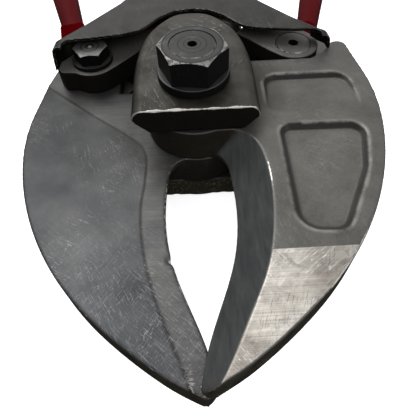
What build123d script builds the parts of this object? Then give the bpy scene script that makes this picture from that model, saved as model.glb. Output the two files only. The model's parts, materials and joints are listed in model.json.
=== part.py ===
from build123d import *
from math import atan2, cos, degrees, hypot, radians, sin, tan
import os

os.makedirs("parts", exist_ok=True)

# Heavy bolt cutters: two curved bypass blades on one centre bolt between two
# cast straps, two forged levers on the blade tails, meeting at a pivot behind
# the straps.  Millimetres.  Origin on the centre bolt axis at the shear plane,
# +X right, +Y toward the handles, +Z up.  The lower layer is the upper layer
# turned half a turn about Y.

# ---- driving dimensions ----
blade_t = 20.0            # thickness of one blade
shear_gap = 0.05          # half gap between the two blades
pocket_depth = 2.8        # forged pockets in the outer face of a blade
hub_r = 28.3              # blade hub round the centre bolt
sleeve_r = 15.0           # running sleeve on the centre bolt
sleeve_bore_r = 15.05     # hub bore
bolt_r = 12.0             # M24 centre bolt
nut_af = 32.0             # nut across flats
nut_h = 14.0
nut_turn = -8.0           # how the nut happens to sit
head_af = 32.0            # head of the centre bolt
washer_r = 19.2
washer_t = 5.0
strap_z0 = 20.15          # underside of the upper strap
strap_z1 = 35.0           # top of the upper strap
strap_front = -26.3       # cut front face
tail_x = 63.55            # tail pivot, right side
tail_y = 47.9
lever_end_r = 15.5        # round end of a lever at the tail pivot
tongue_r = 15.2           # round end of the blade tail
pin_head_r = 11.0         # flush head of the tail pin
pin_r = 9.0               # running part of the tail pin
pin_bore_r = 9.05
m12_af = 19.0
m12_head_h = 7.5
m12_washer_r = 12.5
m12_washer_t = 2.5
handle_pivot_y = 2.0 * tail_y
handle_pin_r = 8.0
handle_pin_bore_r = 8.05
handle_hub_r = 14.0
lean = 15.8               # handle lean, degrees from +Y
handle_x0 = 83.3          # handle centre line passes here
handle_y0 = 91.0
handle_len = 838.0
tube_r = 14.0
tube_wall = 2.2
neck_r = 7.4
grip_r = 17.0
grip_len = 150.0
guard_z0 = 28.0
guard_z1 = 30.0
spacer_y = 149.0          # spacer and bolt that tie the two covers together


# ---- helpers ----
def flip(shape):
    """Half a turn about the Y axis: upper right becomes lower left."""
    return shape.rotate(Axis.Y, 180)


def disc(radius, z0, z1, x=0.0, y=0.0):
    """Upright cylinder between two heights."""
    return Pos(x, y, (z0 + z1) / 2) * Cylinder(radius, z1 - z0)


def slab(x0, x1, y0, y1, z0, z1):
    """Box given by its limits."""
    return Pos((x0 + x1) / 2, (y0 + y1) / 2, (z0 + z1) / 2) * Box(x1 - x0, y1 - y0, z1 - z0)


def plate(face, z0, z1):
    """Sketch face in XY made into a plate between two heights."""
    return extrude(Pos(0, 0, z0) * face, z1 - z0)


def hexagon(af, z0, z1, turn=0.0, x=0.0, y=0.0):
    """Hexagonal prism with a corner on the turned X axis."""
    face = RegularPolygon(af / 2, 6, major_radius=False)
    return Pos(x, y, 0) * Rot(0, 0, turn) * plate(face, z0, z1)


def turned_nut(af, z0, z1, turn, x=0.0, y=0.0, top=True):
    """Hexagon whose outer corners are turned off at thirty degrees."""
    tall = (z1 - z0)
    rim = af / 2 * 0.985
    drop = 2.0 * af / 32.0
    if top:
        profile = [(0, z0), (af, z0), (af, z1 - drop - 5), (rim + 1.73 * drop, z1 - drop), (rim, z1), (0, z1)]
    else:
        profile = [(0, z1), (af, z1), (af, z0 + drop + 5), (rim + 1.73 * drop, z0 + drop), (rim, z0), (0, z0)]
    cone = revolve(Plane.XZ * make_face(Polyline(*profile, close=True)), Axis.Z)
    return hexagon(af, z0, z0 + tall, turn, x, y) & (Pos(x, y, 0) * cone)


def rounded(corners, inset):
    """Convex polygon given clockwise as (x, y, radius), shrunk by inset, corners rounded."""
    count = len(corners)
    lines = []
    for i in range(count):
        x0, y0, r0 = corners[i]
        x1, y1, r1 = corners[(i + 1) % count]
        size = hypot(x1 - x0, y1 - y0)
        ux, uy = (x1 - x0) / size, (y1 - y0) / size
        lines.append((x0 + uy * inset, y0 - ux * inset, ux, uy))
    edges = []
    ends = []
    for i in range(count):
        ax, ay, au, av = lines[i - 1]
        bx, by, bu, bv = lines[i]
        cross = au * bv - av * bu
        k = ((bx - ax) * bv - (by - ay) * bu) / cross
        px, py = ax + k * au, ay + k * av
        radius = max(corners[i][2] - inset, 0.5)
        half_turn = abs(atan2(cross, au * bu + av * bv)) / 2
        cut = radius * tan(half_turn)
        start = (px - au * cut, py - av * cut)
        stop = (px + bu * cut, py + bv * cut)
        nx, ny = bu - au, bv - av
        reach = hypot(nx, ny)
        bulge = radius / cos(half_turn) - radius
        middle = (px + nx / reach * bulge, py + ny / reach * bulge)
        edges.append(ThreePointArc(start, middle, stop))
        ends.append((start, stop))
    for i in range(count):
        edges.append(Line(ends[i][1], ends[(i + 1) % count][0]))
    return make_face(edges)


def save(shape, name):
    """Write one named piece."""
    if isinstance(shape, (list, tuple, ShapeList)):
        shape = Compound(children=list(shape))
    shape.label = name
    export_step(shape, "parts/" + name + ".step")
    print(name, len(shape.solids()), round(shape.volume / 1000, 2), "cm3")


# ---- right blade, z from the shear plane up ----
tip = (4.0, -152.2)
outer = Spline(
    (96.3, 42.4), (101.3, 6.0), (96.8, -38.0), (78.5, -83.6), (50.6, -118.8), (20.0, -143.2), tip,
    tangents=[(0.12, -1), (-0.9, -0.45)],
)
edge = Spline(
    (-3.6, -150.2), (0.2, -134.0), (4.6, -121.5), (11.3, -103.8), (15.2, -90.5),
    (17.6, -75.0), (18.1, -61.0), (17.3, -47.0), (15.6, -35.5), (6.9, -27.4),
    tangents=[(0.2, 1), (-1, 0.35)],
)
nose = ThreePointArc(tip, (-0.8, -153.0), (-3.6, -150.2))
horn = ThreePointArc((85.6, 45.0), (91.0, 48.2), (96.3, 42.4))
recess = ThreePointArc((71.0, 32.0), (79.4, 37.2), (85.6, 45.0))
back = Polyline((6.9, -27.4), (0, 0), (6.0, 27.6), (14.0, 32.0), (71.0, 32.0))
blade_face = make_face([outer, nose, edge, back, recess, horn])
blade_body = plate(blade_face, shear_gap, blade_t)
hub = disc(hub_r, shear_gap, blade_t)
tongue = disc(tongue_r, shear_gap, 9.9, tail_x, tail_y)
tongue += slab(tail_x - tongue_r, tail_x + tongue_r, 24.0, tail_y, shear_gap, 9.9)
tail_plate = [(58.0, 62.9, 2.0), (78.0, 65.5, 6.0), (90.0, 64.5, 4.0), (92.6, 57.0, 6.0), (96.2, 43.0, 20.0),
              (98.2, 30.0, 1.0), (58.0, 30.0, 1.0)]
tongue += plate(rounded(tail_plate, 0.0), shear_gap, 9.9)
blade = blade_body + hub + tongue

# bevel from the top face down to the cutting edge
bevel_low = Spline(
    (-4.6, -152.0), (-0.8, -134.3), (3.6, -121.8), (10.3, -104.1), (14.2, -90.7),
    (16.6, -75.1), (17.1, -61.0), (16.3, -47.2), (14.6, -36.2), (7.5, -28.6),
)
bevel_high = Spline(
    (3.2, -153.5), (11.0, -141.0), (18.6, -126.0), (26.6, -109.4), (31.6, -92.0),
    (34.1, -76.0), (34.9, -61.0), (34.0, -46.5), (31.2, -35.6), (21.0, -26.0),
)
low_face = make_face([bevel_low, Polyline((7.5, -28.6), (-60, -28.6), (-60, -152.0), (-4.6, -152.0))])
high_face = make_face([bevel_high, Polyline((21.0, -26.0), (-60, -26.0), (-60, -153.5), (3.2, -153.5))])
bevel = loft([Pos(0, 0, 0.9) * low_face, Pos(0, 0, blade_t + 0.5) * high_face], ruled=True)
bevel -= disc(hub_r, -1, blade_t + 2)
blade -= bevel

# two shallow forged pockets in the outer face, with sloping walls
pocket_1 = [(39.4, 18.1, 9.0), (90.3, 18.1, 11.0), (91.8, -14.2, 7.0), (39.4, -14.2, 7.0)]
pocket_2 = [(43.0, -23.2, 7.0), (91.2, -24.0, 9.0), (84.0, -56.0, 25.0), (65.6, -91.8, 9.0), (42.6, -90.5, 12.0)]
for corners, tilt in ((pocket_1, -4.7), (pocket_2, 0.0)):
    rim = rounded(corners, 0.0)
    floor = rounded(corners, 3.3)
    sunk = loft([Pos(0, 0, blade_t - pocket_depth) * floor, Pos(0, 0, blade_t) * rim], ruled=True)
    sunk += plate(rim, blade_t - 0.001, blade_t + 1.0)
    # the floor of the first pocket runs out toward the front
    sunk &= Pos(60, corners[0][1], blade_t - pocket_depth) * Rot(tilt, 0, 0) * slab(-60, 60, -120, 10, 0, 30)
    blade -= sunk

# ground flat that thins the point by a degree
point_cut = slab(-80, 120, -70, 0, 0, 12)
blade -= Pos(0, -99.5, blade_t) * Rot(1.0, 0, 0) * point_cut

# relief of the shear face outside the ground strip
relief_line = Spline(
    (95.8, 41.5), (65.5, 14.0), (39.5, -8.3), (30.2, -21.3), (29.5, -41.0), (31.2, -61.0), (29.0, -85.0),
    (22.6, -111.0), (15.0, -131.0), (6.0, -153.5),
)
relief_face = make_face([relief_line, Polyline((6.0, -153.5), (130, -153.5), (130, 41.5), (95.8, 41.5))])
blade -= plate(relief_face, -1, 0.3)

blade -= disc(sleeve_bore_r, -1, blade_t + 1)
blade -= disc(pin_bore_r, -1, 11, tail_x, tail_y)
blade = blade.solids().sort_by(SortBy.VOLUME)[-1]
save(blade, "blade_right")
save(flip(blade), "blade_left")

# ---- straps ----
half = Spline((33.2, -4.0), (32.6, 17.0), (30.4, 32.0), (26.2, 45.0), (17.5, 57.5), (0.0, 65.0),
              tangents=[(0, 1), (-1, 0)])
front = Polyline((0.0, 65.0), (0.0, -45.0), (33.2, -45.0), (33.2, -4.0))
strap_half = extrude(Pos(0, 0, strap_z0) * make_face([half, front]), strap_z1 - strap_z0)
strap = strap_half + mirror(strap_half, Plane.YZ)
top_edges = strap.faces().sort_by(Axis.Z)[-1].edges()
strap = fillet(top_edges, 6.0)
strap = chamfer(strap.faces().sort_by(Axis.Z)[0].edges(), 8.2)
strap -= slab(-60, 60, -80, strap_front, 0, 60)
strap -= disc(bolt_r + 0.15, 0, 60)
strap -= slab(-15.2, 15.2, 43.0, 70.0, 0, strap_z0 + 0.25)
for sx in (-1, 1):
    strap -= disc(2.6, 0, 30.0, 9.0 * sx, 50.0)
strap = strap.solids().sort_by(SortBy.VOLUME)[-1]
save(strap, "strap_upper")
save(flip(strap), "strap_lower")

# ---- centre bolt, nut, washers and sleeve ----
shank = disc(bolt_r, -40.0, 54.0)
shank = chamfer(shank.edges().group_by(Axis.Z)[-1], 0.6)
shank -= disc(2.5, 47.0, 60.0)
shank += turned_nut(head_af, -49.0, -40.0, 0.0, top=False)
save(shank, "centre_bolt")
nut = turned_nut(nut_af, 40.0, 40.0 + nut_h, nut_turn)
nut -= disc(bolt_r + 0.15, 30, 60)
save(nut, "centre_nut")
washer = disc(washer_r, strap_z1, strap_z1 + washer_t)
washer = fillet(washer.edges(), 0.8) - disc(bolt_r + 0.5, 30, 60)
save(washer, "centre_washer_upper")
save(flip(washer), "centre_washer_lower")
save(disc(sleeve_r, -strap_z0 + 0.02, strap_z0 - 0.02) - disc(bolt_r + 0.15, -30, 30), "centre_sleeve")

# ---- right lever: fork on the blade tongue, inner arm to the handle pivot, outer arm to the tube ----
arm_angle = degrees(atan2(handle_pivot_y - tail_y, -tail_x))


def along(s, w):
    """Point s along the inner arm from the tail pivot, w to its left."""
    c = cos(radians(arm_angle))
    d = sin(radians(arm_angle))
    return (tail_x + s * c - w * d, tail_y + s * d + w * c)


out_c = sin(radians(lean))
out_s = cos(radians(lean))


def outward(s, w):
    """Point s along the handle from its start, w to its left."""
    return (handle_x0 + s * out_c - w * out_s, handle_y0 + s * out_s + w * out_c)


# inner arm: narrows from the tail end to a waist and widens again into the hub
front_side = Spline(along(-1.0, 15.4), along(16, 13.4), along(32, 10.6), along(50, 10.0), along(68, 12.2),
                    along(79.5, 14.0))
inner_arm = make_face([
    front_side,
    Polyline(along(79.5, 14.0), along(79.5, -14.0), along(52, -12.0), outward(-16, 9.5), outward(0, 8.0),
             outward(0, -8.0), outward(-24, -10.0), along(-1.0, -15.4), along(-1.0, 15.4)),
])
main = plate(inner_arm, -14.0, -shear_gap)
main += disc(lever_end_r, -14.0, -shear_gap, tail_x, tail_y)
shoulder = Polyline((tail_x + 9.0, 35.6), (tail_x + 18.5, 36.6), (tail_x + 22.5, 42.5), outward(-31, -12.5),
                    outward(-12, -8.4), outward(-12, 4.0), (tail_x, tail_y), close=True)
main += plate(make_face(shoulder), -14.0, -shear_gap)
main += disc(handle_hub_r, -12.0, -shear_gap, 0, handle_pivot_y)
main -= disc(19.0, -20.0, -12.0, 0, handle_pivot_y)
ear_line = make_face([
    Spline(along(-1.0, 15.4), along(16, 13.4), along(32, 10.6), along(36, 10.3)),
    Polyline(along(36, 10.3), along(36, -10.5), along(14, -13.6), along(-1.0, -15.4), along(-1.0, 15.4)),
])
ear = plate(ear_line, 10.1, 20.0) + disc(lever_end_r, 10.1, 20.0, tail_x, tail_y)
web_line = Polyline(along(19.5, 12.2), along(36, 10.2), along(36, -10.5), along(19.5, -12.6), close=True)
web_face = make_face(web_line)
web = plate(web_face, -1.0, 11.0)
lever = main + ear + web
# the outer arm thickens round the handle axis and carries a round tang
handle_start = Plane(origin=(handle_x0, handle_y0, 0), x_dir=(out_s, -out_c, 0), z_dir=(out_c, out_s, 0))
lever += extrude(handle_start * Circle(neck_r + 0.6), -14)
lever += extrude(handle_start * Circle(neck_r - 2.3), 120)
lever -= disc(pin_head_r + 0.15, 12.0, 21.0, tail_x, tail_y)
lever -= disc(pin_r + 0.15, -20.0, 21.0, tail_x, tail_y)
lever -= disc(handle_pin_bore_r, -20.0, 20.0, 0, handle_pivot_y)

# ---- tail pins: flush head with a hex socket, tapped from the other end for an M12 bolt ----
pin = disc(pin_head_r, 12.0, 20.0, tail_x, tail_y) + disc(pin_r, -13.9, 12.0, tail_x, tail_y)
pin = chamfer(pin.edges().group_by(Axis.Z)[-1], 0.5)
pin -= hexagon(6.0, 14.0, 21.0, 10.0, tail_x, tail_y)
pin -= disc(6.0, -20.0, 6.0, tail_x, tail_y)
save(pin, "tail_pin_right")
save(flip(pin), "tail_pin_left")
tail_washer = disc(m12_washer_r, -14.0 - m12_washer_t, -14.0, tail_x, tail_y)
tail_washer -= disc(6.2, -20, -10, tail_x, tail_y)
save(tail_washer, "tail_washer_right")
save(flip(tail_washer), "tail_washer_left")
head_z = -14.0 - m12_washer_t
tail_bolt = turned_nut(m12_af, head_z - m12_head_h, head_z, -4.0, tail_x, tail_y, top=False)
tail_bolt += disc(5.85, head_z - 1, 4.0, tail_x, tail_y)
tail_bolt -= Pos(tail_x, tail_y, head_z - m12_head_h) * Sphere(2.2)
save(tail_bolt, "tail_bolt_right")
save(flip(tail_bolt), "tail_bolt_left")

# ---- handle pivot: headed pin fixed in the left lever, collar underneath ----
pivot = disc(handle_pin_r, -14.6, 12.1, 0, handle_pivot_y) + disc(12.0, 12.1, 15.6, 0, handle_pivot_y)
pivot = chamfer(pivot.edges().group_by(Axis.Z)[-1], 0.8)
save(pivot, "handle_pivot_pin")
collar = disc(12.0, -15.4, -12.2, 0, handle_pivot_y) - disc(handle_pin_r, -20, -10, 0, handle_pivot_y)
save(collar, "handle_pivot_collar")


# ---- guards: pressed sheet covers over the levers, joggled under the straps ----
def guard_rear(k):
    """Rear and end outline of the cover drawn in by k, from the right end round to the left end."""
    d = 0.7 * k
    return [
        (84.3 - k, 38.8), (83.6 - k, 44.6), (79.0 - d, 49.2 - d), (64.2 - d, 63.4 - d), (46.2 - d, 83.8 - d),
        (40.0 - k, 93.5), (37.0 - k, 152.0), (30.0 - d, 160.0 - k), (d - 30.0, 160.0 - k), (k - 37.0, 152.0),
        (k - 41.0, 97.6), (d - 47.8, 87.2 - d), (d - 68.5, 63.2 - d), (d - 80.2, 51.2 - d), (k - 84.1, 46.5),
        (k - 84.9, 38.8),
    ]


guard_front = [(78.6, 39.0), (78.2, 43.5), (76.0, 46.2), (70.0, 47.0), (62.0, 47.3), (56.0, 48.2), (44.0, 49.8),
               (37.8, 51.4), (32.5, 53.3), (28.0, 57.2), (20.5, 66.5), (11.0, 73.2), (0.0, 75.0)]
guard_front_left = [(-x, y) for x, y in guard_front[:-1]]


def cover(k):
    """Outline of the sheet at one height."""
    return make_face(Polyline(*(guard_rear(k) + guard_front_left + guard_front[::-1]), close=True))


def hollow(k):
    """Inside of the sheet at one height, open to the front."""
    return make_face(Polyline(*(guard_rear(k) + [(k - 84.9, 20.0), (84.3 - k, 20.0)]), close=True))


guard_drop = 14.35        # how far down the left wall reaches
bend_out = [(guard_drop, -1.0), (24.0, 0.0), (27.4, 0.6), (29.2, 1.8), (guard_z1, 3.2)]
bend_in = [(guard_drop - 0.01, 0.8), (23.4, 1.8), (26.0, 2.4), (27.4, 3.6), (guard_z0, 5.0)]
outer_shell = loft([Pos(0, 0, z) * cover(k) for z, k in bend_out], ruled=True)
inner_shell = loft([Pos(0, 0, z) * hollow(k) for z, k in bend_in], ruled=True)
guard = outer_shell - inner_shell
guard -= slab(0, 100, 20, 180, 0, 20.5)
# the rest of the skirt stays outside the sweep of the washers and bolt heads
guard -= disc(93.2, 5, 17.3)
guard -= disc(91.7, 5, 24.7)
# joggled tab that passes under the strap and is screwed to it
tab = slab(-15, 15, 43.5, 78.0, 18.25, 20.1)
riser = slab(-15, 15, 76.2, 78.0, 18.25, 29.0)
guard = guard + tab + riser
for sx in (-1, 1):
    guard -= disc(2.7, 10, 40, 9.0 * sx, 50.0)
guard -= disc(4.2, 10, 40, 0, spacer_y)
guard = guard.solids().sort_by(SortBy.VOLUME)[-1]
save(guard, "guard_upper")
save(flip(guard), "guard_lower")

screws = []
for sx in (-1, 1):
    screws.append(disc(2.5, 18.0, 28.0, 9.0 * sx, 50.0) + disc(4.6, 17.0, 18.2, 9.0 * sx, 50.0))
save(screws, "guard_screws_upper")
save([flip(s) for s in screws], "guard_screws_lower")
save(disc(5.5, -27.95, 27.95, 0, spacer_y) - disc(4.1, -30, 30, 0, spacer_y), "guard_spacer")
spacer_bolt = disc(3.95, -30.0, 31.0, 0, spacer_y) + turned_nut(13.0, 30.0, 35.5, 20.0, 0, spacer_y)
save(spacer_bolt, "guard_spacer_bolt")
spacer_nut = turned_nut(13.0, -36.0, -30.0, 5.0, 0, spacer_y, top=False) - disc(3.95, -40, -20, 0, spacer_y)
save(spacer_nut, "guard_spacer_nut")

# ---- handles: swaged tube over the lever tang, moulded grip and end cap ----
axis = Axis((handle_x0, handle_y0, 0), (out_c, out_s, 0))
side = Plane(origin=(handle_x0, handle_y0, 0), x_dir=(out_c, out_s, 0), z_dir=(0, 0, 1))
tube_outer = [(0.5, 0), (0.5, neck_r), (12.0, neck_r + 0.35), (170.0, tube_r), (handle_len - 6, tube_r),
              (handle_len - 6, 0)]
tube_solid = revolve(side * make_face(Polyline(*tube_outer, close=True)), axis)
bore_pts = [(-5, 0), (-5, neck_r - 2.1), (122.0, neck_r - 2.1), (190.0, tube_r - tube_wall),
            (handle_len, tube_r - tube_wall), (handle_len, 0)]
tube = tube_solid - revolve(side * make_face(Polyline(*bore_pts, close=True)), axis)


def cross_pin(s, radius, half_len):
    """Upright pin through the handle axis at s."""
    x, y = outward(s, 0)
    return disc(radius, -half_len, half_len, x, y)


for s in (62.0, 100.0):
    tube -= cross_pin(s, 2.1, 30)
lever_holes = cross_pin(62.0, 2.1, 30) + cross_pin(100.0, 2.1, 30)
save(tube, "handle_tube_right")
save(flip(tube), "handle_tube_left")
roll_pins = [cross_pin(62.0, 2.0, 9.3), cross_pin(100.0, 2.0, 10.8)]
save(roll_pins, "tube_pins_right")
save([flip(p) for p in roll_pins], "tube_pins_left")
lever = (lever - lever_holes).solids().sort_by(SortBy.VOLUME)[-1]
save(lever, "lever_right")
save(flip(lever), "lever_left")

g0 = handle_len - 6 - grip_len
grip_pts = [(g0, tube_r + 0.05), (g0, tube_r + 2.0), (g0 + 2, tube_r + 5.5), (g0 + 6, tube_r + 5.5),
            (g0 + 10, grip_r), (g0 + grip_len, grip_r), (g0 + grip_len, tube_r + 0.05)]
grip = revolve(side * make_face(Polyline(*grip_pts, close=True)), axis)
save(grip, "grip_right")
save(flip(grip), "grip_left")
e0 = handle_len - 6
cap_pts = [(e0 - 18, 0), (e0 - 18, tube_r - tube_wall - 0.1), (e0, tube_r - tube_wall - 0.1), (e0, grip_r - 0.4),
           (e0 + 3.5, grip_r - 0.6), (e0 + 6, grip_r - 4.0), (e0 + 6, 0)]
cap = revolve(side * make_face(Polyline(*cap_pts, close=True)), axis)
save(cap, "grip_cap_right")
save(flip(cap), "grip_cap_left")
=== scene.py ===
import json
from math import cos, radians, sin

import bpy
import numpy as np
from mathutils import Matrix, Vector, noise


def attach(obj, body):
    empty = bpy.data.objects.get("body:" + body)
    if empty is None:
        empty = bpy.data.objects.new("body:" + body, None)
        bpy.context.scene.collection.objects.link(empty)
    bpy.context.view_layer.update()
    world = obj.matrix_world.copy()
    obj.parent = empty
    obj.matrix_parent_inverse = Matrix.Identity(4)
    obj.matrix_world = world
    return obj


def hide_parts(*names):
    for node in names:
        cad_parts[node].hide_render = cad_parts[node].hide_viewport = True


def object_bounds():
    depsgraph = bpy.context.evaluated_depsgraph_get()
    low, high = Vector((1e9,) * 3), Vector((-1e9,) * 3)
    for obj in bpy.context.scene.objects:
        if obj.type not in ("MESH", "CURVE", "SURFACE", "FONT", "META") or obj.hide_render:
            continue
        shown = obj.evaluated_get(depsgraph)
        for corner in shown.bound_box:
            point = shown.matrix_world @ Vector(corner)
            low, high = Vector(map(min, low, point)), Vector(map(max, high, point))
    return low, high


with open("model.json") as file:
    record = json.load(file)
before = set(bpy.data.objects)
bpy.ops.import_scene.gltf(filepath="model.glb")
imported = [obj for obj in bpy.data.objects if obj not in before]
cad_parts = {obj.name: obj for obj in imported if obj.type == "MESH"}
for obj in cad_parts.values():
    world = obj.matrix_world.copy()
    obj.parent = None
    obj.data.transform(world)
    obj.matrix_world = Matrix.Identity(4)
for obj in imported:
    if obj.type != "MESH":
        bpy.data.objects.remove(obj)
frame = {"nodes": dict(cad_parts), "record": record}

cad_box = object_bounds()
nodes = frame["nodes"]
record = frame["record"]
slot_of = {s["node"]: s["material_slot"] for s in record["subparts"]}
body_of_node = {n: b for b, ns in record["behaviour"]["bodies"].items() for n in ns}

# lengths are millimetres unless they are multiplied by MM, which makes them metres
MM = 0.001
joint_at = {j["name"]: j["pos_m"] for j in record["behaviour"]["joints"]}
TAIL_X, TAIL_Y = (v / MM for v in joint_at["right_lever"][:2])
BLADE_THICK = 20.0
HANDLE_LEAN = radians(15.8)     # from the length of the tool, outwards
HANDLE_START = (83.3, 91.0)     # where the axis of the right handle leaves the lever


# ---------------------------------------------------------------- node helpers
class Mat:
    """Small builder for procedural materials."""

    def __init__(self, name):
        self.m = bpy.data.materials.new(name)
        self.m.use_nodes = True
        self.t = self.m.node_tree
        self.t.nodes.clear()
        self.out = self.t.nodes.new("ShaderNodeOutputMaterial")
        self.bsdf = self.t.nodes.new("ShaderNodeBsdfPrincipled")
        self.t.links.new(self.bsdf.outputs[0], self.out.inputs[0])
        self.tc = self.t.nodes.new("ShaderNodeTexCoord")
        self.co = self.tc.outputs["Object"]
        self.painted = None

    def n(self, kind, **kw):
        node = self.t.nodes.new("ShaderNode" + kind)
        for k, v in kw.items():
            setattr(node, k, v)
        return node

    def link(self, a, b):
        self.t.links.new(a, b)

    def put(self, socket, value):
        if isinstance(value, (int, float)):
            socket.default_value = value
        elif isinstance(value, (tuple, list)):
            value = tuple(value)
            if len(socket.default_value) == 4 and len(value) == 3:
                value = value + (1.0,)
            socket.default_value = value
        else:
            self.link(value, socket)

    def map(self, scale=(1, 1, 1), loc=(0, 0, 0), rot=(0, 0, 0)):
        node = self.n("Mapping")
        self.link(self.co, node.inputs["Vector"])
        node.inputs["Scale"].default_value = scale
        node.inputs["Location"].default_value = loc
        node.inputs["Rotation"].default_value = rot
        return node.outputs[0]

    def noise(self, scale, detail=4.0, rough=0.55, vec=None, dist=0.0):
        node = self.n("TexNoise")
        self.link(vec or self.co, node.inputs["Vector"])
        node.inputs["Scale"].default_value = scale
        node.inputs["Detail"].default_value = detail
        node.inputs["Roughness"].default_value = rough
        node.inputs["Distortion"].default_value = dist
        return node.outputs["Fac"]

    def ramp(self, fac, stops):
        node = self.n("ValToRGB")
        self.put(node.inputs[0], fac)
        cr = node.color_ramp
        while len(cr.elements) < len(stops):
            cr.elements.new(0.5)
        for e, (pos, col) in zip(cr.elements, stops):
            e.position = pos
            if isinstance(col, (int, float)):
                col = (col, col, col)
            e.color = tuple(col) + ((1.0,) if len(col) == 3 else ())
        return node.outputs[0]

    def math(self, op, a, b=0.0, clamp=False):
        node = self.n("Math", operation=op, use_clamp=clamp)
        self.put(node.inputs[0], a)
        self.put(node.inputs[1], b)
        return node.outputs[0]

    def mix(self, fac, a, b, blend="MIX"):
        node = self.n("Mix", data_type="RGBA", blend_type=blend)
        self.put(node.inputs[0], fac)
        self.put(node.inputs[6], a)
        self.put(node.inputs[7], b)
        return node.outputs[2]

    def xyz(self, vec=None):
        node = self.n("SeparateXYZ")
        self.link(vec or self.co, node.inputs[0])
        return node.outputs

    def step(self, value, lo, hi):
        """0 below lo and 1 above hi; lo may be the larger."""
        node = self.n("MapRange")
        self.put(node.inputs["Value"], value)
        node.inputs["From Min"].default_value = lo
        node.inputs["From Max"].default_value = hi
        node.inputs["To Min"].default_value = 0.0
        node.inputs["To Max"].default_value = 1.0
        node.clamp = True
        return node.outputs[0]

    def bump(self, height, strength, distance, normal=None):
        node = self.n("Bump")
        node.inputs["Strength"].default_value = strength
        node.inputs["Distance"].default_value = distance
        self.put(node.inputs["Height"], height)
        if normal is not None:
            self.link(normal, node.inputs["Normal"])
        return node.outputs[0]

    def scratches(self, scale, stretch, angle, width, density):
        """Thin straight marks: stretched noise iso-lines gated by a second noise."""
        turn = self.n("Mapping")
        self.link(self.co, turn.inputs["Vector"])
        turn.inputs["Rotation"].default_value = (0, 0, angle)
        v = self.n("Mapping")
        self.link(turn.outputs[0], v.inputs["Vector"])
        v.inputs["Scale"].default_value = (1.0, stretch, 1.0)
        line = self.noise(scale, 2.0, 0.5, vec=v.outputs[0])
        thin = self.math("ABSOLUTE", self.math("SUBTRACT", line, 0.5))
        thin = self.step(thin, width, 0.0)
        away = self.map(loc=(0.37 * angle + 0.11, 0.71, 0.2))
        gate = self.noise(scale * 0.45, 2.0, 0.5, vec=away)
        gate = self.step(gate, density, density + 0.1)
        return self.math("MULTIPLY", thin, gate)


def done(mat, color, rough, metal, normal=None, **sockets):
    mat.put(mat.bsdf.inputs["Base Color"], color)
    mat.put(mat.bsdf.inputs["Roughness"], rough)
    mat.put(mat.bsdf.inputs["Metallic"], metal)
    if normal is not None:
        mat.link(normal, mat.bsdf.inputs["Normal"])
    for k, v in sockets.items():
        mat.put(mat.bsdf.inputs[k.replace("_", " ")], v)
    return mat.m


def vein(m, scale, lo, hi, detail, rough, dist=0.0):
    """Noise stretched to a 0..1 mask."""
    return m.step(m.noise(scale, detail, rough, dist=dist), lo, hi)


BARE_SCRATCH = (0.30, 0.295, 0.29)
WALL_SHINE = 0.06


def mul(m, a, b):
    return m.math("MULTIPLY", a, b)


def radius_from(m, cx, cy):
    """Distance in metres from the upright axis through (cx, cy) mm."""
    node = m.n("VectorMath", operation="LENGTH")
    m.link(m.map(scale=(1.0, 1.0, 0.0), loc=(-cx * MM, -cy * MM, 0.0)), node.inputs[0])
    return node.outputs["Value"]


def rings(m, r, scale):
    """Turning marks: noise that only changes with the radius."""
    node = m.n("CombineXYZ")
    m.link(r, node.inputs[0])
    return m.noise(scale, 3.0, 0.6, vec=node.outputs[0])


def times(colour, factor):
    return tuple(v * factor for v in colour)


def base_steel(m, dark, light, wall, scratch, grain, spread):
    """Mottled oxide on the flat faces, black oxide darkened with painted shade on the walls; returns the
    colour and its masks.
    """
    big = m.noise(20.0, 5.0, 0.6)
    mid = m.noise(90.0, 5.0, 0.62, dist=0.3)
    fine = m.noise(grain, 3.0, 0.6)
    tone = m.math("ADD", mul(m, big, 0.65), mul(m, mid, 0.35))
    col = m.ramp(tone, [(spread[0], dark), (spread[1], light)])
    grit = m.ramp(fine, [(0.3, 0.86), (0.7, 1.10)])
    col = m.mix(1.0, col, grit, "MULTIPLY")
    s1 = m.scratches(52.0, 10.0, 0.5, 0.010, 0.55)
    s2 = m.scratches(70.0, 8.0, 2.1, 0.009, 0.57)
    s3 = m.scratches(38.0, 15.0, 1.25, 0.007, 0.56)
    marks = m.math("ADD", m.math("ADD", s1, s2), s3, clamp=True)
    col = m.mix(mul(m, marks, scratch), col, BARE_SCRATCH)
    facing = m.xyz(m.tc.outputs["Normal"])
    steep = m.step(m.math("ABSOLUTE", facing[2]), 0.80, 0.45)
    speck = m.step(m.noise(700.0, 3.0, 0.7), 0.60, 0.72)
    # painted shade: the steep walls take the near-black wall colour over their black oxide
    wall_col = m.mix(mul(m, mid, 0.5), wall, times(wall, 2.2))
    wall_col = m.mix(mul(m, speck, 0.5), wall_col, times(wall, 4.0))
    col = m.mix(steep, col, wall_col)
    return col, steep, marks, mid, fine


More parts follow.
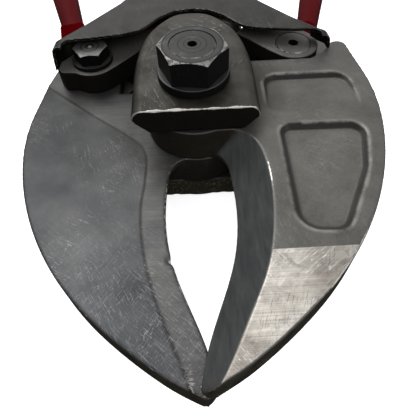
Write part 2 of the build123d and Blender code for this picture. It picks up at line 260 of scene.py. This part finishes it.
def steel(name, dark, light, wall=(0.010, 0.0095, 0.0085), rough=(0.36, 0.55), metal=0.6, scratch=0.5,
          wear_col=(0.55, 0.53, 0.50), grain=900.0, extra=None, spread=(0.34, 0.68)):
    """Black-oxide steel, bare on worn edges, with painted shade and dirt in its corners.

    extra(m, colour, steep) adds what is special to one part.
    """
    m = Mat(name)
    col, steep, marks, mid, fine = base_steel(m, dark, light, wall, scratch, grain, spread)
    if extra:
        col = extra(m, col, steep)
    # painted shade and dirt: the concave corners of the skins are darkened in patches
    crease_shade_and_dirt = m.n("Attribute", attribute_name="crease_shade_and_dirt")
    shade_and_dirt = mul(m, crease_shade_and_dirt.outputs["Fac"], m.step(mid, 0.30, 0.62))
    col = m.mix(mul(m, shade_and_dirt, 0.75), col, (0.020, 0.017, 0.013))
    at = m.n("Attribute", attribute_name="wear")
    edge_noise = m.math("SUBTRACT", m.noise(420.0, 5.0, 0.7), 0.5)
    ragged = m.step(m.math("ADD", at.outputs["Fac"], mul(m, edge_noise, 0.9)), 0.50, 0.62)
    col = m.mix(ragged, col, wear_col)
    patchy = m.math("ADD", mul(m, mid, 0.6), mul(m, fine, 0.4))
    r = m.ramp(patchy, [(0.3, rough[0]), (0.7, rough[1])])
    r = m.math("MAXIMUM", r, mul(m, steep, 0.62))
    nrm = m.bump(fine, 0.10, 0.0003)
    nrm = m.bump(mid, 0.06, 0.0012, nrm)
    nrm = m.bump(mul(m, marks, -1.0), 0.25, 0.0002, nrm)
    flat = m.step(steep, 1.0, 0.0)
    metal_v = m.math("MAXIMUM", mul(m, flat, metal), ragged)
    shine = m.math("ADD", mul(m, flat, 0.22), WALL_SHINE)
    if m.painted is not None:
        bare = m.step(m.painted, 1.0, 0.1)
        shine = mul(m, shine, bare)
        metal_v = mul(m, metal_v, bare)
    return done(m, col, r, metal_v, nrm, Specular_IOR_Level=shine)


def turned_steel(name, cx, cy, face, wall=(0.0045, 0.0045, 0.0048), rim=(0.30, 0.29, 0.27), seams=()):
    """Bolt head, nut or pin: turned end face with ring marks, bright worn chamfer, black oxide walls
    darkened with painted shade.
    """
    m = Mat(name)
    r = radius_from(m, cx, cy)
    fine = m.noise(1300.0, 3.0, 0.6)
    mid = m.noise(170.0, 5.0, 0.65, dist=0.4)
    ring = rings(m, r, 1500.0)
    turned = m.math("ADD", mul(m, ring, 0.55), mul(m, mid, 0.45))
    col = m.ramp(turned, [(0.36, times(face, 0.70)), (0.62, face)])
    worn = m.step(mid, 0.60, 0.74)
    col = m.mix(mul(m, worn, 0.30), col, (0.22, 0.215, 0.21))
    for at_r, half in seams:
        off = m.math("ABSOLUTE", m.math("SUBTRACT", r, at_r * MM))
        line = m.step(off, half * MM, half * 0.35 * MM)
        col = m.mix(mul(m, line, 0.85), col, (0.008, 0.008, 0.008))
    up = m.math("ABSOLUTE", m.xyz(m.tc.outputs["Normal"])[2])
    wall_mask = m.step(up, 0.45, 0.30)
    rim_mask = mul(m, m.step(up, 0.985, 0.95), m.step(wall_mask, 1.0, 0.0))
    rim_mask = mul(m, rim_mask, m.step(m.noise(260.0, 4.0, 0.7), 0.40, 0.56))
    col = m.mix(mul(m, rim_mask, 0.85), col, rim)
    speck = m.step(m.noise(900.0, 3.0, 0.7), 0.62, 0.70)
    # painted shade: the walls take the near-black wall colour over their black oxide
    wall_col = m.mix(mul(m, speck, 0.6), wall, times(wall, 5.0))
    col = m.mix(wall_mask, col, wall_col)
    patchy = m.ramp(m.math("ADD", mul(m, mid, 0.5), mul(m, ring, 0.5)), [(0.3, 0.34), (0.7, 0.52)])
    rough = m.math("MAXIMUM", patchy, mul(m, wall_mask, 0.5))
    flat = m.step(wall_mask, 1.0, 0.0)
    nrm = m.bump(mul(m, ring, flat), 0.22, 0.0003)
    nrm = m.bump(fine, 0.12, 0.0003, nrm)
    shine = m.math("ADD", mul(m, flat, 0.2), 0.05)
    return done(m, col, rough, mul(m, flat, 0.6), nrm, Specular_IOR_Level=shine)


def red_paint():
    """Deep red handle paint with brown dirt and pale scratches."""
    m = Mat("handle_red")
    big = m.noise(18.0, 4.0, 0.55)
    fine = m.noise(480.0, 4.0, 0.6)
    col = m.ramp(big, [(0.35, (0.060, 0.0012, 0.0024)), (0.7, (0.094, 0.0024, 0.0048))])
    dirt = vein(m, 120.0, 0.56, 0.72, 6.0, 0.7, 0.6)
    col = m.mix(mul(m, dirt, 0.35), col, (0.035, 0.006, 0.008))
    s = m.scratches(30.0, 9.0, 0.3, 0.01, 0.56)
    col = m.mix(mul(m, s, 0.4), col, (0.30, 0.08, 0.08))
    r = m.ramp(fine, [(0.3, 0.38), (0.7, 0.55)])
    nrm = m.bump(fine, 0.1, 0.0004)
    return done(m, col, r, 0.0, nrm, Specular_IOR_Level=0.03)


def rubber():
    """Dusty black rubber."""
    m = Mat("grip_rubber")
    big = m.noise(30.0, 4.0, 0.6)
    fine = m.noise(1400.0, 3.0, 0.6)
    col = m.ramp(big, [(0.35, (0.012, 0.012, 0.012)), (0.7, (0.028, 0.027, 0.026))])
    dust = vein(m, 160.0, 0.55, 0.75, 6.0, 0.7)
    col = m.mix(mul(m, dust, 0.3), col, (0.075, 0.070, 0.064))
    r = m.ramp(fine, [(0.3, 0.6), (0.7, 0.85)])
    nrm = m.bump(fine, 0.35, 0.0003)
    return done(m, col, r, 0.0, nrm)


def hub_shade(m, col, flat):
    """Painted shade and dirt on the blade face close round the strap."""
    r = radius_from(m, 0.0, 8.0)
    ragged = m.math("ADD", r, mul(m, m.math("SUBTRACT", m.noise(55.0, 5.0, 0.65), 0.5), 16.0 * MM))
    # painted shade and dirt, darkest near the strap
    near = m.step(ragged, 54.0 * MM, 36.0 * MM)
    return m.mix(mul(m, mul(m, near, flat), 0.80), col, (0.024, 0.021, 0.016))


def outer_wall(m, col, steep):
    """Bronze-brown oxide with rust freckles on the walls away from the hub."""
    away = m.step(radius_from(m, 0.0, 0.0), 31.0 * MM, 36.0 * MM)
    tone = m.noise(130.0, 5.0, 0.68, dist=0.3)
    brown = m.ramp(tone, [(0.36, (0.020, 0.0175, 0.013)), (0.60, (0.058, 0.050, 0.036)),
                          (0.72, (0.095, 0.080, 0.055))])
    return m.mix(mul(m, away, steep), col, brown)


def painted_neck(m, col, steep):
    """The lever neck outside the cover is painted with the handle."""
    x, y, _ = m.xyz()
    across = m.math("SUBTRACT", m.math("ABSOLUTE", x), HANDLE_START[0] * MM)
    ahead = m.math("SUBTRACT", y, HANDLE_START[1] * MM)
    along = m.math("ADD", mul(m, across, sin(HANDLE_LEAN)), mul(m, ahead, cos(HANDLE_LEAN)))
    ragged = m.math("ADD", along, mul(m, m.math("SUBTRACT", m.noise(140.0, 4.0, 0.6), 0.5), 6.0 * MM))
    paint = m.ramp(m.noise(60.0, 4.0, 0.6), [(0.35, (0.050, 0.0006, 0.0012)), (0.7, (0.075, 0.0012, 0.002))])
    m.painted = m.step(ragged, -27.0 * MM, -25.0 * MM)
    return m.mix(m.painted, col, paint)


GUARD_WALL = (0.0045, 0.0042, 0.0036)


def guard_ends(m, col, steep):
    """Smudges on the sheet, and painted shade on the bent ends, as dark as its walls."""
    x = m.xyz()[0]
    smudge = m.step(m.noise(32.0, 5.0, 0.65, dist=0.5), 0.42, 0.62)
    col = m.mix(mul(m, smudge, 0.35), col, (0.082, 0.080, 0.074))
    # painted shade: the bent ends take the near-black wall colour
    bent = m.step(m.math("ABSOLUTE", x), 77.5 * MM, 80.5 * MM)
    return m.mix(bent, col, GUARD_WALL)


def gold_specks(m, col, steep):
    """Brassy dust caught on the walls of the lower strap."""
    dust = m.step(m.noise(620.0, 4.0, 0.75), 0.56, 0.63)
    patch = m.step(m.noise(70.0, 3.0, 0.6), 0.40, 0.58)
    return m.mix(mul(m, mul(m, dust, patch), steep), col, (0.30, 0.25, 0.13))


def pocket_shade_and_highlight(m, col):
    """Painted shade on the sloping walls and a painted highlight on the rim of the forged pockets."""
    dark = m.n("Attribute", attribute_name="pocket_wall").outputs["Fac"]
    # painted shade on the pocket walls
    col = m.mix(mul(m, dark, 0.94), col, (0.010, 0.009, 0.008))
    pale = m.n("Attribute", attribute_name="pocket_rim").outputs["Fac"]
    # painted highlight along the pocket rims
    pale = mul(m, pale, m.step(m.noise(110.0, 4.0, 0.65), 0.36, 0.56))
    return m.mix(mul(m, pale, 0.65), col, (0.33, 0.32, 0.30))


def blade_bevel(m, col, x, y, up):
    """Blue-grey bevel, found by its slope, between the hub and the point."""
    slope = mul(m, m.step(up, 0.93, 0.86), m.step(up, 0.30, 0.45))
    in_bevel = mul(m, mul(m, slope, m.step(x, 40.0 * MM, 36.0 * MM)), m.step(y, -24.0 * MM, -30.0 * MM))
    streak = m.noise(1.0, 3.0, 0.6, vec=m.map(scale=(420.0, 60.0, 60.0)))
    bevel = m.ramp(streak, [(0.3, (0.055, 0.060, 0.061)), (0.7, (0.098, 0.103, 0.102))])
    return m.mix(in_bevel, col, bevel)


def ground_point(m, y):
    """Colour of the surface-ground point: fine cross lines, stains, scuffs, gouges and bright scratches."""
    lines = m.noise(1.0, 2.0, 0.5, vec=m.map(scale=(30.0, 2400.0, 30.0)))
    stain = m.noise(70.0, 7.0, 0.74, dist=0.25)
    cloud = m.noise(34.0, 4.0, 0.6, vec=m.map(loc=(0.4, 0.2, 0.0)))
    bright = m.ramp(cloud, [(0.38, (0.29, 0.265, 0.235)), (0.62, (0.58, 0.545, 0.495))])
    bright = m.mix(1.0, bright, m.ramp(lines, [(0.34, 0.80), (0.66, 1.16)]), "MULTIPLY")
    bright = m.mix(mul(m, m.step(stain, 0.52, 0.64), 0.65), bright, (0.175, 0.162, 0.145))
    band = mul(m, m.step(y, -112.0 * MM, -100.5 * MM), m.step(m.noise(90.0, 5.0, 0.7), 0.38, 0.58))
    bright = m.mix(mul(m, band, 0.55), bright, (0.21, 0.195, 0.175))
    scuff = mul(m, m.step(m.noise(160.0, 6.0, 0.75, dist=0.6), 0.55, 0.66), m.step(cloud, 0.42, 0.58))
    bright = m.mix(mul(m, scuff, 0.7), bright, (0.78, 0.75, 0.70))
    gouge = m.scratches(60.0, 12.0, 1.9, 0.020, 0.44)
    bright = m.mix(mul(m, gouge, 0.65), bright, (0.11, 0.10, 0.09))
    for angle, width, dense in ((0.9, 0.016, 0.46), (2.5, 0.013, 0.47), (1.35, 0.012, 0.50)):
        shiny = m.scratches(44.0, 15.0, angle, width, dense)
        bright = m.mix(mul(m, shiny, 0.75), bright, (0.86, 0.83, 0.78))
    return bright


def right_blade_extra(m, col, steep):
    """Painted shade and dirt round the hub, brown walls, painted shade and highlight in the pockets, bevel
    and the ground point.
    """
    x, y, z = m.xyz()
    up = m.xyz(m.tc.outputs["Normal"])[2]
    col = hub_shade(m, col, m.step(steep, 1.0, 0.0))
    col = outer_wall(m, col, steep)
    col = pocket_shade_and_highlight(m, col)
    col = blade_bevel(m, col, x, y, up)
    # only the top plane of the point is ground
    top = mul(m, m.step(up, 0.955, 0.985), m.step(z, 17.2 * MM, 18.0 * MM))
    on_point = mul(m, m.step(y, -99.0 * MM, -99.4 * MM), top)
    return m.mix(on_point, col, ground_point(m, y))


def left_blade_extra(m, col, steep):
    """Ground strip along the edge, a dark line of painted shade for the step beside it, paler and bluer
    toward the point.
    """
    y = m.xyz()[1]
    flat = m.step(steep, 1.0, 0.0)
    tint = m.ramp(m.step(y, 40.0 * MM, -130.0 * MM), [(0.0, (0.82, 0.82, 0.81)), (1.0, (1.30, 1.31, 1.35))])
    col = m.mix(1.0, col, tint, "MULTIPLY")
    col = hub_shade(m, col, flat)
    col = outer_wall(m, col, steep)
    at = m.n("Attribute", attribute_name="strip")
    lines = m.noise(1.0, 3.0, 0.6, vec=m.map(scale=(40.0, 700.0, 40.0), rot=(0, 0, 0.10)))
    strip = m.ramp(lines, [(0.3, (0.062, 0.062, 0.060)), (0.7, (0.098, 0.097, 0.092))])
    col = m.mix(mul(m, mul(m, at.outputs["Fac"], flat), 0.7), col, strip)
    # painted shade: a dark line stands in for the shade of the step at the strip's border
    line = m.n("Attribute", attribute_name="border")
    col = m.mix(mul(m, mul(m, line.outputs["Fac"], flat), 0.9), col, (0.014, 0.013, 0.012))
    cloud = m.noise(26.0, 5.0, 0.62, vec=m.map(loc=(0.3, 0.9, 0.0)), dist=0.4)
    clouds = m.ramp(cloud, [(0.36, (0.78, 0.80, 0.84)), (0.64, (1.18, 1.17, 1.15))])
    col = m.mix(1.0, col, clouds, "MULTIPLY")
    nicks = m.scratches(70.0, 6.0, 0.15, 0.030, 0.50)
    near_tip = mul(m, m.step(y, -85.0 * MM, -105.0 * MM), at.outputs["Fac"])
    near_tip = mul(m, near_tip, flat)
    col = m.mix(mul(m, mul(m, nicks, near_tip), 0.7), col, (0.50, 0.49, 0.46))
    low = mul(m, m.step(y, -55.0 * MM, -110.0 * MM), flat)
    for angle, width in ((0.75, 0.012), (1.05, 0.010), (2.2, 0.009)):
        hatch = m.scratches(46.0, 16.0, angle, width, 0.44)
        col = m.mix(mul(m, mul(m, hatch, low), 0.45), col, (0.30, 0.30, 0.32))
    return col


BLADE_WALL = (0.016, 0.0145, 0.0115)
STRAP = dict(dark=(0.022, 0.020, 0.015), light=(0.070, 0.066, 0.058), rough=(0.36, 0.55), scratch=0.8,
             spread=(0.40, 0.60))

M = {}
M["blade_right"] = steel("blade_oxide_right", (0.070, 0.068, 0.063), (0.150, 0.146, 0.137), wall=BLADE_WALL,
                         extra=right_blade_extra)
M["blade_left"] = steel("blade_oxide_left", (0.030, 0.031, 0.031), (0.068, 0.068, 0.067), wall=BLADE_WALL,
                        extra=left_blade_extra, spread=(0.38, 0.62))
M["strap"] = steel("strap_oxide", wall=(0.0075, 0.0070, 0.0055), **STRAP)
M["strap_lower"] = steel("strap_oxide_lower", wall=(0.030, 0.028, 0.020), extra=gold_specks, **STRAP)
M["fastener"] = steel("bolt_oxide", (0.040, 0.040, 0.039), (0.075, 0.074, 0.072),
                      wall=(0.0055, 0.0055, 0.0055), rough=(0.3, 0.46))
# seams are (radius, half width) of dark turned grooves on the end face
M["centre_nut"] = turned_steel("nut_oxide", 0.0, 0.0, (0.066, 0.066, 0.064), wall=(0.009, 0.009, 0.0095),
                               rim=(0.42, 0.40, 0.38), seams=((15.0, 0.3),))
M["centre_bolt"] = turned_steel("bolt_end_oxide", 0.0, 0.0, (0.060, 0.060, 0.058),
                                seams=((7.3, 0.25), (4.2, 0.25)))
# painted light: the tail bolt and pin faces are about three times lighter than the centre bolt, where the
# cover shades them
for side, x in (("left", -TAIL_X), ("right", TAIL_X)):
    M["tail_bolt_" + side] = turned_steel("tail_bolt_lit_oxide_" + side, x, TAIL_Y, (0.150, 0.148, 0.144),
                                          seams=((5.4, 0.5), (2.6, 0.3)))
    M["tail_pin_" + side] = turned_steel("tail_pin_lit_oxide_" + side, x, TAIL_Y, (0.165, 0.158, 0.150),
                                         seams=((10.9, 0.5),))
M["pin"] = steel("pin_steel", (0.045, 0.044, 0.041), (0.085, 0.083, 0.079), rough=(0.3, 0.5), metal=0.7)
M["lever"] = steel("lever_oxide", (0.060, 0.057, 0.052), (0.135, 0.130, 0.121), wall=(0.007, 0.0065, 0.0055),
                   rough=(0.45, 0.65), metal=0.15, extra=painted_neck)
M["guard"] = steel("guard_sheet", (0.014, 0.0135, 0.0125), (0.050, 0.049, 0.047), wall=GUARD_WALL,
                   rough=(0.34, 0.5), grain=600.0, wear_col=(0.20, 0.195, 0.18), extra=guard_ends)
M["handle"] = red_paint()
M["grip"] = rubber()


def material_of(node):
    """A node's own material, or else the one of its slot."""
    return M.get(node) or M[slot_of[node]]


for name, obj in nodes.items():
    obj.data.materials.clear()
    obj.data.materials.append(material_of(name))


def soften(name, width):
    """Small worn radius on the sharp edges of a CAD node."""
    b = nodes[name].modifiers.new("edge", "BEVEL")
    b.width = width * MM
    b.segments = 2
    b.limit_method = "ANGLE"
    b.angle_limit = radians(30.0)
    b.harden_normals = False


def convexity(me, co, no, voxel):
    """How sharply the surface turns at each vertex: 0 flat, 1 on an edge, -1 in a corner."""
    n = len(co)
    e = np.empty(len(me.edges) * 2, dtype=np.int64)
    me.edges.foreach_get("vertices", e)
    a, b = e[0::2], e[1::2]
    count = np.bincount(e, minlength=n).clip(1)

    def around(v):
        out = np.bincount(a, weights=v[b], minlength=n) + np.bincount(b, weights=v[a], minlength=n)
        return out / count

    mean = np.stack([around(co[:, i]) for i in range(3)], axis=1)
    c = ((co - mean) * no).sum(axis=1) / (voxel * MM) * 4.0
    c = np.clip(c, -1.0, 1.0)
    for _ in range(2):
        c = 0.5 * c + 0.5 * around(c)
    return c


def flat_array(source, name, count):
    """A mesh's vector property as one row of three per vertex."""
    values = np.empty(count * 3)
    source.foreach_get(name, values)
    return values.reshape(-1, 3)


def skin(node, voxel, smooth, shape=None):
    """Even dense mesh made from a CAD node, for worn edges.

    shape(co, no, turn) may move the points, and returns them with the attributes that the materials read.
    """
    o = bpy.data.objects.new(node + "_skin", nodes[node].data.copy())
    bpy.context.scene.collection.objects.link(o)
    mod = o.modifiers.new("even", "REMESH")
    mod.mode = "VOXEL"
    mod.voxel_size = voxel * MM
    sm = o.modifiers.new("round", "SMOOTH")
    sm.factor = 0.5
    sm.iterations = smooth
    dg = bpy.context.evaluated_depsgraph_get()
    fresh = bpy.data.meshes.new_from_object(o.evaluated_get(dg))
    o.modifiers.clear()
    o.data = fresh
    n = len(fresh.vertices)
    co = flat_array(fresh.vertices, "co", n)
    no = flat_array(fresh.vertex_normals, "vector", n)
    bend = convexity(fresh, co, no, voxel)
    turn = bend.clip(0.0, 1.0)
    attrs = {"wear": turn * 0.35}
    if shape:
        co, attrs = shape(co, no, turn)
        fresh.vertices.foreach_set("co", co.ravel())
    # concave corners give the mask for the painted shade and dirt
    attrs["crease_shade_and_dirt"] = fade(-bend, 0.03, 0.40)
    for key, val in attrs.items():
        a = fresh.attributes.new(key, "FLOAT", "POINT")
        a.data.foreach_set("value", np.asarray(val, dtype=np.float32))
    fresh.polygons.foreach_set("use_smooth", [True] * len(fresh.polygons))
    fresh.materials.clear()
    fresh.materials.append(material_of(node))
    fresh.update()
    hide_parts(node)
    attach(o, body_of_node[node])


def wobble(co, freq, seed=0.0):
    """Smooth noise per point, about -1..1."""
    off = Vector((seed, seed * 1.7, -seed))
    return np.array([noise.noise(Vector(c) * freq + off) for c in co])


def near_curve(co, pts):
    """Distance in mm from each point (m) to a polyline in mm."""
    p = co / MM
    best = np.full(len(p), np.inf)
    pts = np.asarray(pts, float)
    for a, b in zip(pts[:-1], pts[1:]):
        d = b - a
        t = np.clip(((p - a) @ d) / (d @ d), 0, 1)
        q = a + t[:, None] * d
        best = np.minimum(best, np.linalg.norm(p - q, axis=1))
    return best


def smooth_curve(pts):
    """Catmull-Rom points through pts."""
    steps = 8
    pts = [np.array(p, float) for p in pts]
    pts = [2 * pts[0] - pts[1]] + pts + [2 * pts[-1] - pts[-2]]
    out = []
    for i in range(1, len(pts) - 2):
        p0, p1, p2, p3 = pts[i - 1:i + 3]
        for k in range(steps):
            t = k / steps
            out.append(0.5 * (2 * p1 + (p2 - p0) * t + (2 * p0 - 5 * p1 + 4 * p2 - p3) * t * t
                              + (3 * p1 - p0 - 3 * p2 + p3) * t ** 3))
    out.append(pts[-2])
    return np.array(out)


# lines seen from above in mm, at the right blade's place; the left blade mirrors them and alone has BORDER
BEVEL_TOP = smooth_curve([(3.2, -153.5), (11.0, -141.0), (18.6, -126.0), (26.6, -109.4), (31.6, -92.0),
                          (34.1, -76.0), (34.9, -61.0), (34.0, -46.5), (31.2, -35.6), (21.0, -26.0)])
CUT_EDGE = smooth_curve([(-3.6, -150.2), (0.2, -134.0), (4.6, -121.5), (11.3, -103.8), (15.2, -90.5),
                         (17.6, -75.0), (18.1, -61.0), (17.3, -47.0), (15.6, -35.5), (6.9, -27.4)])
OUTLINE = smooth_curve([(96.3, 42.4), (101.3, 6.0), (96.8, -38.0), (78.5, -83.6), (50.6, -118.8),
                        (20.0, -143.2), (4.0, -152.2)])
BORDER = smooth_curve([(95.8, 41.5), (65.5, 14.0), (39.5, -8.3), (30.2, -21.3), (29.5, -41.0), (31.2, -61.0),
                       (29.0, -85.0), (22.6, -111.0), (15.0, -131.0), (6.0, -153.5)])
NICK_Y = -91.5              # one large nick in the left blade's edge
STRAP_FRONT = -26.3         # front face of the straps
STRAP_CORNER = 6.0          # radius of the strap's long upper corners
STRAP_CORNER_X, STRAP_CORNER_Z = 27.2, 29.0


def at_z(curve, z, side):
    """A plan curve raised to height z; side -1 mirrors it."""
    return np.column_stack([curve[:, 0] * side, curve[:, 1], np.full(len(curve), z)])


def fade(v, lo, hi):
    """0 below lo and 1 above hi."""
    return np.clip((v - lo) / (hi - lo), 0.0, 1.0)


def ground_strip(co, x, y, z):
    """The left blade's strip inside its border line, and the line itself, where the step's painted shade
    goes.
    """
    border_x = np.interp(y, BORDER[::-1, 1], BORDER[::-1, 0])
    d_line = near_curve(co * (1, 1, 0), at_z(BORDER, 0.0, -1))
    return {"strip": fade(border_x - x, -0.3, 0.3), "border": (1 - fade(d_line, 0.35, 1.25)) * (z > -2.0)}


def pocket_marks(x, y, z, no, turn, d_out, wide):
    """Masks for painted shade on the right blade's pocket walls, darker away from the light, and for a
    painted highlight on the upper rim of each.
    """
    in_pockets = (x > 36.0) * (y > -96.0) * (y < 22.0) * (d_out > 6.0)
    # the rear pocket runs out to the front, so its front wall fades away
    in_pockets = in_pockets * np.where(y > -18.0, fade(y, -11.0, 5.0), 1.0)
    level = np.hypot(no[:, 0], no[:, 1]).clip(1e-6)
    toward = 0.66 - 0.34 * no[:, 1] / level - 0.12 * no[:, 0] / level
    # painted shade, strongest on walls that face away from the light
    wall = in_pockets * fade(1.0 - np.abs(no[:, 2]), 0.02, 0.12) * toward.clip(0.2, 1.0)
    # painted highlight along the upper rim of each pocket
    rim = in_pockets * fade(turn, 0.02, 0.12) * (BLADE_THICK - z < 1.2) * (0.7 + 0.5 * wide)
    return {"pocket_wall": wall, "pocket_rim": np.clip(rim, 0, 1)}


def worn_blade(side):
    """Chips along the cutting edge, worn bevel and outline; side 1 is the right blade, -1 the left."""
    def shape(co, no, turn):
        p = co / MM
        x, y, z = p[:, 0] * side, p[:, 1], p[:, 2] * side
        d_top = near_curve(co, at_z(BEVEL_TOP, BLADE_THICK * side, side))
        d_cut = near_curve(co, at_z(CUT_EDGE, 0.0, side))
        d_out = near_curve(co, at_z(OUTLINE, BLADE_THICK if side > 0 else 0.0, side))
        rough = wobble(co, 260.0, 3.0 * side)
        wide = wobble(co, 60.0, 7.0 * side)
        toward_point = fade(-y, 25.0, 90.0)
        wear = turn * 0.28
        wear = np.maximum(wear, (1 - fade(d_top, 0.2, 1.1)) * (0.55 + 0.35 * wide))
        wear = np.maximum(wear, (1 - fade(d_cut, 0.2, 1.0)) * (0.42 + 0.4 * wide))
        wear = np.maximum(wear, (1 - fade(d_out, 0.3, 1.3)) * (0.25 + 0.45 * toward_point + 0.25 * wide))
        depth = 0.5 * (1 - fade(d_cut, 0.6, 2.4)) * fade(rough + 0.8 * wide, 0.45, 1.0)
        if side > 0:
            marks = pocket_marks(x, y, z, no, turn, d_out, wide)
        else:
            nick = np.exp(-((y - NICK_Y) / 1.6) ** 2) * (1 - fade(d_cut, 1.0, 3.5))
            depth = depth + 1.3 * nick
            wear = np.maximum(wear, (1 - fade(d_cut, 0.5, 1.7)) * (0.50 + 0.5 * wide))
            wear = np.maximum(wear, 0.8 * nick)
            marks = ground_strip(co, x, y, z)
        return co - no * depth[:, None] * MM, {"wear": np.clip(wear, 0, 1), **marks}
    return shape


def worn_strap(co, no, turn):
    """Ragged front edge with small chips and a bright lip."""
    p = co / MM
    y, z = p[:, 1], np.abs(p[:, 2])
    front = np.exp(-(y - STRAP_FRONT) ** 2)
    rough = wobble(co, 170.0, 5.0)
    wide = wobble(co, 50.0, 2.0)
    edge = front * fade(turn, 0.12, 0.45) * fade(z, 24.0, STRAP_CORNER_Z)
    chip = fade(rough + 0.5 * wide, 0.0, 0.8) * front * fade(turn, 0.05, 0.4)
    co = co - no * (chip * 0.75)[:, None] * MM
    over = (np.abs(p[:, 0]) - STRAP_CORNER_X).clip(0.0, STRAP_CORNER)
    depth = STRAP_CORNER_Z + np.sqrt(STRAP_CORNER ** 2 - over ** 2) - z
    near_front = np.exp(-((y - STRAP_FRONT) / 1.5) ** 2)
    lip = near_front * (1 - fade(depth, 0.5, 1.7)) * (0.70 + 0.40 * wide + 0.55 * rough)
    wear = np.maximum(np.maximum(turn * 0.22, edge * (0.80 + 0.3 * wide)), lip)
    return co, {"wear": np.clip(wear, 0, 1)}


def worn_guard(co, no, turn):
    """Thin pale line along the cut front edge of the cover."""
    wide = wobble(co, 45.0, 4.0)
    return co, {"wear": np.clip(fade(turn, 0.10, 0.45) * (0.62 + 0.3 * wide), 0, 1)}


# node, voxel in mm and rounds of smoothing, the same two when quick, wear
SKINS = (
    ("blade_right", (0.7, 5), (1.2, 2), worn_blade(1)),
    ("blade_left", (0.7, 5), (1.2, 2), worn_blade(-1)),
    ("strap_upper", (0.55, 3), (0.9, 3), worn_strap),
    ("strap_lower", (0.55, 3), (0.9, 3), worn_strap),
    ("guard_upper", (0.6, 2), (0.8, 2), worn_guard),
    ("guard_lower", (0.6, 2), (0.8, 2), worn_guard),
    ("lever_left", (0.7, 2), (1.2, 2), None),
    ("lever_right", (0.7, 2), (1.2, 2), None),
)
for node, full, coarse, wear in SKINS:
    voxel, rounds = full
    skin(node, voxel, rounds, wear)
for node in ("centre_nut", "centre_washer_upper", "tail_bolt_left", "tail_bolt_right", "tail_washer_left",
             "tail_washer_right", "tail_pin_right", "tail_pin_left"):
    soften(node, 0.35)
soften("centre_bolt", 0.3)


# ---------------------------------------------------------------- floor, light, camera
def plain_floor():
    """White paper under the tool, which neither lights it nor shows in its reflections."""
    half = 6.0
    z = cad_box[0][2] - 0.5 * MM
    me = bpy.data.meshes.new("floor")
    corners = [(-half, -half, z), (half, -half, z), (half, half, z), (-half, half, z)]
    me.from_pydata(corners, [], [(0, 1, 2, 3)])
    o = bpy.data.objects.new("floor", me)
    bpy.context.scene.collection.objects.link(o)
    m = Mat("floor_paper")
    col = m.ramp(m.noise(3.0, 3.0), [(0.3, 0.90), (0.7, 0.93)])
    m.put(m.bsdf.inputs["Emission Color"], (1.0, 1.0, 1.0))
    me.materials.append(done(m, col, 0.9, 0.0, None, Emission_Strength=0.85))
    o.visible_diffuse = False
    o.visible_glossy = False


def studio_world():
    """Grey from dark to white, brightest high up behind the tool."""
    world = bpy.data.worlds.new("studio")
    bpy.context.scene.world = world
    world.use_nodes = True
    tree = world.node_tree
    coords = tree.nodes.new("ShaderNodeTexCoord")
    toward = tree.nodes.new("ShaderNodeVectorMath")
    toward.operation = "DOT_PRODUCT"
    toward.inputs[1].default_value = (0.0, 0.55, 0.83)
    tree.links.new(coords.outputs["Generated"], toward.inputs[0])
    shade = tree.nodes.new("ShaderNodeValToRGB")
    dark, light = shade.color_ramp.elements
    dark.position, dark.color = 0.15, (0.10, 0.10, 0.10, 1.0)
    light.position, light.color = 0.85, (1.0, 1.0, 1.0, 1.0)
    tree.links.new(toward.outputs["Value"], shade.inputs[0])
    tree.links.new(shade.outputs[0], tree.nodes["Background"].inputs[0])
    tree.nodes["Background"].inputs[1].default_value = 0.8


def area(name, at, side, power):
    """Square area light of that side in metres, aimed at the centre bolt."""
    data = bpy.data.lights.new(name, "AREA")
    data.shape = "RECTANGLE"
    data.size, data.size_y = side, side
    data.energy = power
    o = bpy.data.objects.new(name, data)
    bpy.context.scene.collection.objects.link(o)
    o.location = at
    o.rotation_euler = (-Vector(at)).to_track_quat("-Z", "Y").to_euler()


def camera():
    """Looks down on the jaws from in front of them."""
    data = bpy.data.cameras.new("camera")
    o = bpy.data.objects.new("camera", data)
    bpy.context.scene.collection.objects.link(o)
    bpy.context.scene.camera = o
    data.sensor_width = 36.0
    data.lens = 36.0407
    data.clip_start = 0.01
    pitch, yaw, roll = radians(54.92), radians(1.545), radians(-1.754)
    ahead = Vector((sin(yaw) * cos(pitch), cos(yaw) * cos(pitch), -sin(pitch)))
    level = Vector((cos(yaw), -sin(yaw), 0.0))
    above = level.cross(ahead)
    right = level * cos(roll) + above * sin(roll)
    up = above * cos(roll) - level * sin(roll)
    turn = Matrix((right, up, -ahead)).transposed()
    o.matrix_world = Matrix.Translation(Vector((0.37, -185.50, 175.99)) * MM) @ turn.to_4x4()


plain_floor()
studio_world()
area("key", (-0.5, 0.7, 1.3), 0.9, 14.0)
area("fill", (0.9, -0.6, 1.0), 0.8, 5.0)
area("front", (-0.1, -0.9, 0.9), 0.7, 3.5)
camera()
bpy.context.scene.view_settings.view_transform = "Standard"
